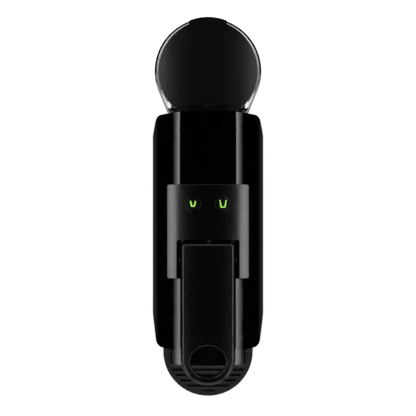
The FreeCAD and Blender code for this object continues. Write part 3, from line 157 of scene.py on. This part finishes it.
def mixed_colour(tree, factor, low, high):
    """Blends from low to high as the factor goes from 0 to 1; low and high are colours or other blends."""
    node = tree.nodes.new("ShaderNodeMix")
    node.data_type = "RGBA"
    ends = [socket for socket in node.inputs if socket.type == "RGBA"]
    for socket, colour in zip(ends, (low, high)):
        if isinstance(colour, tuple):
            socket.default_value = (*colour, 1.0)
        else:
            tree.links.new(colour, socket)
    tree.links.new(factor, node.inputs[0])
    return [socket for socket in node.outputs if socket.type == "RGBA"][0]


def multiplied(tree, first, second):
    node = tree.nodes.new("ShaderNodeMath")
    node.operation = "MULTIPLY"
    tree.links.new(first, node.inputs[0])
    tree.links.new(second, node.inputs[1])
    return node.outputs["Value"]


def set_surface(tree, shader, colour, roughness):
    tree.links.new(colour, shader.inputs["Base Color"])
    tree.links.new(roughness, shader.inputs["Roughness"])


def grey(value):
    """A neutral colour, very slightly cool."""
    return (value, value, value * GREY_COOLNESS)


# ---------------------------------------------------------------- materials

def piano_black():
    """Polished shell: deep gloss, the faint ripple of a moulding, handling haze."""
    material, tree, shader = new_material("piano_black")
    haze = patches(tree, size=22 * MM, detail=5.0)
    colour = mixed_colour(tree, haze, (0.0004, 0.0004, 0.0005), (0.0010, 0.0010, 0.0012))
    smears = patches(tree, size=3.5 * MM, detail=6.0, low=0.035, high=0.060, rough=0.7)
    set_surface(tree, shader, colour, smears)
    ripple = noise(tree, size=9 * MM, detail=1.0)
    add_bump(tree, shader, ripple.outputs["Fac"], distance=0.015 * MM, strength=0.2)
    return material


def moulded(name, dark, light, wear, rough, grain, depth, haze=30 * MM, spread=0.05, gloss=0.5):
    """Moulded plastic: fine grain, slow colour and sheen variation, rubbed edges, painted shade in slots and
    corners.
    """
    material, tree, shader = new_material(name)
    cloud = patches(tree, size=haze, detail=4.0)
    rubbing = patches(tree, size=4 * MM, detail=5.0, low=0.25)
    rubbed = multiplied(tree, edge_mask(tree), rubbing)
    worn = mixed_colour(tree, rubbed, mixed_colour(tree, cloud, dark, light), wear)
    # painted shade: the dark colour, dimmed further, is painted into slots and corners
    painted_shade_colour = tuple(value * CREVICE_SHADE for value in dark)
    colour = mixed_colour(tree, painted_shade_mask(tree), worn, painted_shade_colour)
    sheen = patches(tree, size=8 * MM, detail=5.0, low=rough - spread, high=rough + spread)
    set_surface(tree, shader, colour, sheen)
    shader.inputs["Specular IOR Level"].default_value = gloss
    grains = noise(tree, size=grain, detail=3.0, rough=0.6)
    add_bump(tree, shader, grains.outputs["Fac"], distance=depth, strength=0.6)
    return material


def brushed_metal(name, dark, bright, rough, along=(1.0, 0.04, 1.0)):
    """Metal with fine directional scratches and slightly uneven colour."""
    material, tree, shader = new_material(name)
    scratches = noise(tree, size=SCRATCH_SIZE, detail=3.0, stretch=along)
    colour = mixed_colour(tree, patches(tree, size=6 * MM, detail=5.0), dark, bright)
    smoothest, roughest = (rough + change for change in SCRATCH_SPREAD)
    set_surface(tree, shader, colour, ranged(tree, scratches, "Fac", smoothest, roughest))
    shader.inputs["Metallic"].default_value = 1.0
    add_bump(tree, shader, scratches.outputs["Fac"], distance=0.02 * MM, strength=0.4)
    return material


def clear_plastic():
    """Clear moulded tank wall: slight grey tint, faint ripples and a fine haze of scratches."""
    material, tree, shader = new_material("clear_plastic")
    shader.inputs["Base Color"].default_value = TANK_COLOUR
    shader.inputs["Transmission Weight"].default_value = 1.0
    shader.inputs["IOR"].default_value = TANK_IOR
    shader.inputs["Specular IOR Level"].default_value = TANK_GLOSS
    tint = tree.nodes.new("ShaderNodeVolumeAbsorption")
    tint.inputs["Color"].default_value = (0.0, 0.0, 0.0, 1.0)
    tint.inputs["Density"].default_value = math.log(2.0) / TANK_TINT_DEPTH
    link(tree, tint, "Volume", tree.nodes["Material Output"], "Volume")
    marks = noise(tree, size=2.2 * MM, detail=6.0, stretch=(1.0, 1.0, 0.3), rough=0.7)
    tree.links.new(ranged(tree, marks, "Fac", low=0.01, high=0.05), shader.inputs["Roughness"])
    ripple = noise(tree, size=14 * MM, detail=1.0)
    add_bump(tree, shader, ripple.outputs["Fac"], distance=0.03 * MM, strength=0.2)
    return material


def lit_insert():
    """Cup icon: translucent insert lit from behind, a little uneven."""
    material, tree, shader = new_material("lit_insert")
    cloud = patches(tree, size=1.4 * MM, detail=3.0)
    green = mixed_colour(tree, cloud, (0.20, 0.50, 0.045), (0.36, 0.68, 0.11))
    set_surface(tree, shader, green, patches(tree, size=0.8 * MM, detail=4.0, low=0.25, high=0.4))
    tree.links.new(green, shader.inputs["Emission Color"])
    shader.inputs["Emission Strength"].default_value = ICON_GLOW
    return material


def silicone():
    """Translucent hose: milky, slightly rubbery, with dust."""
    material, tree, shader = new_material("silicone")
    dust = patches(tree, size=7 * MM, detail=5.0)
    colour = mixed_colour(tree, dust, (0.52, 0.52, 0.49), (0.66, 0.66, 0.63))
    set_surface(tree, shader, colour, patches(tree, size=2 * MM, detail=5.0, low=0.35, high=0.55))
    shader.inputs["Subsurface Weight"].default_value = 0.3
    shader.inputs["Subsurface Radius"].default_value = HOSE_SCATTER
    skin = noise(tree, size=0.6 * MM, detail=3.0)
    add_bump(tree, shader, skin.outputs["Fac"], distance=0.02 * MM, strength=0.5)
    return material


def laminate():
    """Circuit board: solder mask over copper tracks."""
    material, tree, shader = new_material("laminate")
    tracks = tree.nodes.new("ShaderNodeTexVoronoi")
    tracks.distance = "MANHATTAN"
    tracks.feature = "DISTANCE_TO_EDGE"
    tracks.inputs["Scale"].default_value = 1.0 / TRACK_SPACING
    link(tree, coordinates(tree), "Vector", tracks, "Vector")
    mask = ranged(tree, tracks, "Distance", 0.0, 1.0, *TRACK_EDGES)
    colour = mixed_colour(tree, mask, (0.03, 0.15, 0.05), (0.008, 0.06, 0.025))
    set_surface(tree, shader, colour, patches(tree, size=5 * MM, detail=4.0, low=0.25, high=0.4))
    add_bump(tree, shader, mask, distance=0.03 * MM, strength=0.5)
    return material


def make_finishes():
    """The material of each slot in the record."""
    return {
        "shell": piano_black(),
        "satin": moulded("satin_black", dark=grey(0.0014), light=grey(0.0022), wear=grey(0.0080),
                         rough=0.175, grain=0.22 * MM, depth=0.001 * MM, haze=45 * MM,
                         spread=0.010, gloss=0.8),
        "button": moulded("button_black", dark=grey(0.0014), light=grey(0.0024), wear=grey(0.0080),
                          rough=0.19, grain=0.18 * MM, depth=0.001 * MM, haze=12 * MM,
                          spread=0.010, gloss=0.8),
        "lid": moulded("charcoal_lid", dark=grey(0.0045), light=grey(0.0060), wear=grey(0.0120),
                       rough=0.25, grain=0.35 * MM, depth=0.002 * MM, haze=40 * MM, spread=0.012, gloss=0.28),
        "support": moulded("support_grey", dark=grey(0.014), light=grey(0.022), wear=grey(0.045), rough=0.40,
                           grain=0.30 * MM, depth=0.010 * MM, haze=12 * MM),
        "base": moulded("textured_black", dark=grey(0.0035), light=grey(0.0065), wear=grey(0.014),
                        rough=0.50, grain=0.40 * MM, depth=0.020 * MM),
        "frame": moulded("frame_grey", dark=grey(0.012), light=grey(0.020), wear=grey(0.040),
                         rough=0.50, grain=0.5 * MM, depth=0.020 * MM),
        "white": moulded("moulded_white", dark=(0.62, 0.62, 0.59), light=(0.72, 0.72, 0.70),
                         wear=(0.78, 0.78, 0.76), rough=0.42, grain=0.5 * MM, depth=0.012 * MM),
        "rubber": moulded("soft_rubber", dark=grey(0.018), light=grey(0.032), wear=grey(0.05), rough=0.72,
                          grain=0.6 * MM, depth=0.030 * MM, haze=9 * MM),
        "coil": moulded("varnished_yoke", dark=(0.035, 0.032, 0.030), light=(0.085, 0.080, 0.075),
                        wear=(0.16, 0.15, 0.14), rough=0.34, grain=0.8 * MM, depth=0.030 * MM, haze=5 * MM),
        "steel": brushed_metal("pressed_steel", dark=(0.22, 0.22, 0.23), bright=(0.36, 0.36, 0.37),
                               rough=0.32),
        "heater": brushed_metal("cast_aluminium", dark=(0.48, 0.49, 0.50), bright=(0.66, 0.67, 0.68),
                                rough=0.46, along=(1.0, 1.0, 1.0)),
        "brass": brushed_metal("turned_brass", dark=(0.58, 0.42, 0.20), bright=(0.76, 0.58, 0.30),
                               rough=0.25),
        "clear": clear_plastic(),
        "icon": lit_insert(),
        "hose": silicone(),
        "board": laminate(),
    }


def paint_nodes():
    """Gives every CAD node the material of its slot in the record."""
    finishes = make_finishes()
    for part in frame["record"]["subparts"]:
        mesh_object = nodes[part["node"]]
        finish = finishes[part["material_slot"]]
        if not mesh_object.material_slots:
            mesh_object.data.materials.append(finish)
        for own_slot in mesh_object.material_slots:
            own_slot.material = finish


# ---------------------------------------------------------------- surroundings

def make_floor():
    """Plain pale table."""
    material, tree, shader = new_material("pale_table")
    cloud = patches(tree, size=0.12, detail=3.0)
    tree.links.new(mixed_colour(tree, cloud, (0.93, 0.93, 0.93), (0.95, 0.95, 0.95)),
                   shader.inputs["Base Color"])
    shader.inputs["Roughness"].default_value = TABLE_ROUGHNESS
    shader.inputs["Emission Color"].default_value = (1.0, 1.0, 1.0, 1.0)
    shader.inputs["Emission Strength"].default_value = FLOOR_GLOW
    bpy.ops.mesh.primitive_plane_add(size=TABLE_SIZE, location=(0.0, 0.0, 0.0))
    floor = bpy.context.object
    floor.name = "table"
    floor.data.materials.append(material)
    floor.visible_glossy = False


def softbox(name, azimuth_deg, near_deg, far_deg, length, radiance):
    """An area light that fills the angles near to far from straight up, its long side level."""
    middle = math.radians((near_deg + far_deg) / 2)
    width = 2 * LIGHT_DISTANCE * math.tan(math.radians(far_deg - near_deg) / 2)
    data = bpy.data.lights.new(name, "AREA")
    data.shape = "RECTANGLE"
    data.size = width
    data.size_y = length
    data.energy = radiance * math.pi * width * length
    azimuth = math.radians(azimuth_deg)
    outward = Vector((math.cos(azimuth), math.sin(azimuth), 0.0))
    away = outward * math.sin(middle) + Vector((0.0, 0.0, math.cos(middle)))
    level = Vector((-math.sin(azimuth), math.cos(azimuth), 0.0))
    turn = Matrix((level.cross(away), level, away)).transposed().to_4x4()
    lamp = bpy.data.objects.new(name, data)
    lamp.matrix_world = Matrix.Translation(LIGHT_TARGET + away * LIGHT_DISTANCE) @ turn
    scene.collection.objects.link(lamp)


def make_world():
    """A dark studio overhead and a pale room below the horizon."""
    world = bpy.data.worlds.new("studio")
    world.use_nodes = True
    tree = world.node_tree
    background = tree.nodes["Background"]
    place = tree.nodes.new("ShaderNodeTexCoord")
    parts = tree.nodes.new("ShaderNodeSeparateXYZ")
    link(tree, place, "Generated", parts, "Vector")
    lean = tree.nodes.new("ShaderNodeMath")
    lean.operation = "ABSOLUTE"
    tree.links.new(parts.outputs["Y"], lean.inputs[0])
    share = ranged(tree, lean, "Value", SIDE_SHARE, 1.0, *SIDE_SPREAD)
    glow = multiplied(tree, share, ranged(tree, parts, "Z", TABLE_GLOW, SKY_GLOW, *TABLE_SINES))
    background.inputs["Color"].default_value = (1.0, 1.0, 1.0, 1.0)
    tree.links.new(glow, background.inputs["Strength"])
    scene.world = world


def make_lights():
    """Long softboxes on both sides, brightest at their inner edges, and low fills all round but the sides."""
    for side, azimuth in (("right", 0.0), ("left", 180.0)):
        for i, (near, far, radiance) in enumerate(SIDE_STRIPS):
            softbox(f"softbox_{side}_{i}", azimuth, near, far, STRIP_LENGTH, radiance)
    for azimuth in (45.0, 135.0, 225.0, 315.0):
        softbox(f"fill_{azimuth:.0f}", azimuth, *FILL_ANGLES, FILL_LENGTH, FILL_RADIANCE)
    for azimuth in (90.0, 270.0):
        softbox(f"end_{azimuth:.0f}", azimuth, *FILL_ANGLES, FILL_LENGTH, END_RADIANCE)


def make_camera():
    """Straight down, as in the photo."""
    data = bpy.data.cameras.new("camera")
    data.sensor_width = SENSOR
    data.lens = LENS
    camera = bpy.data.objects.new("camera", data)
    camera.location = (0.0, CAMERA_Y, CAMERA_HEIGHT)
    camera.rotation_euler = (0.0, 0.0, 0.0)
    scene.collection.objects.link(camera)
    scene.camera = camera


paint_nodes()
make_floor()
make_world()
make_lights()
make_camera()
scene.view_settings.view_transform = "Standard"
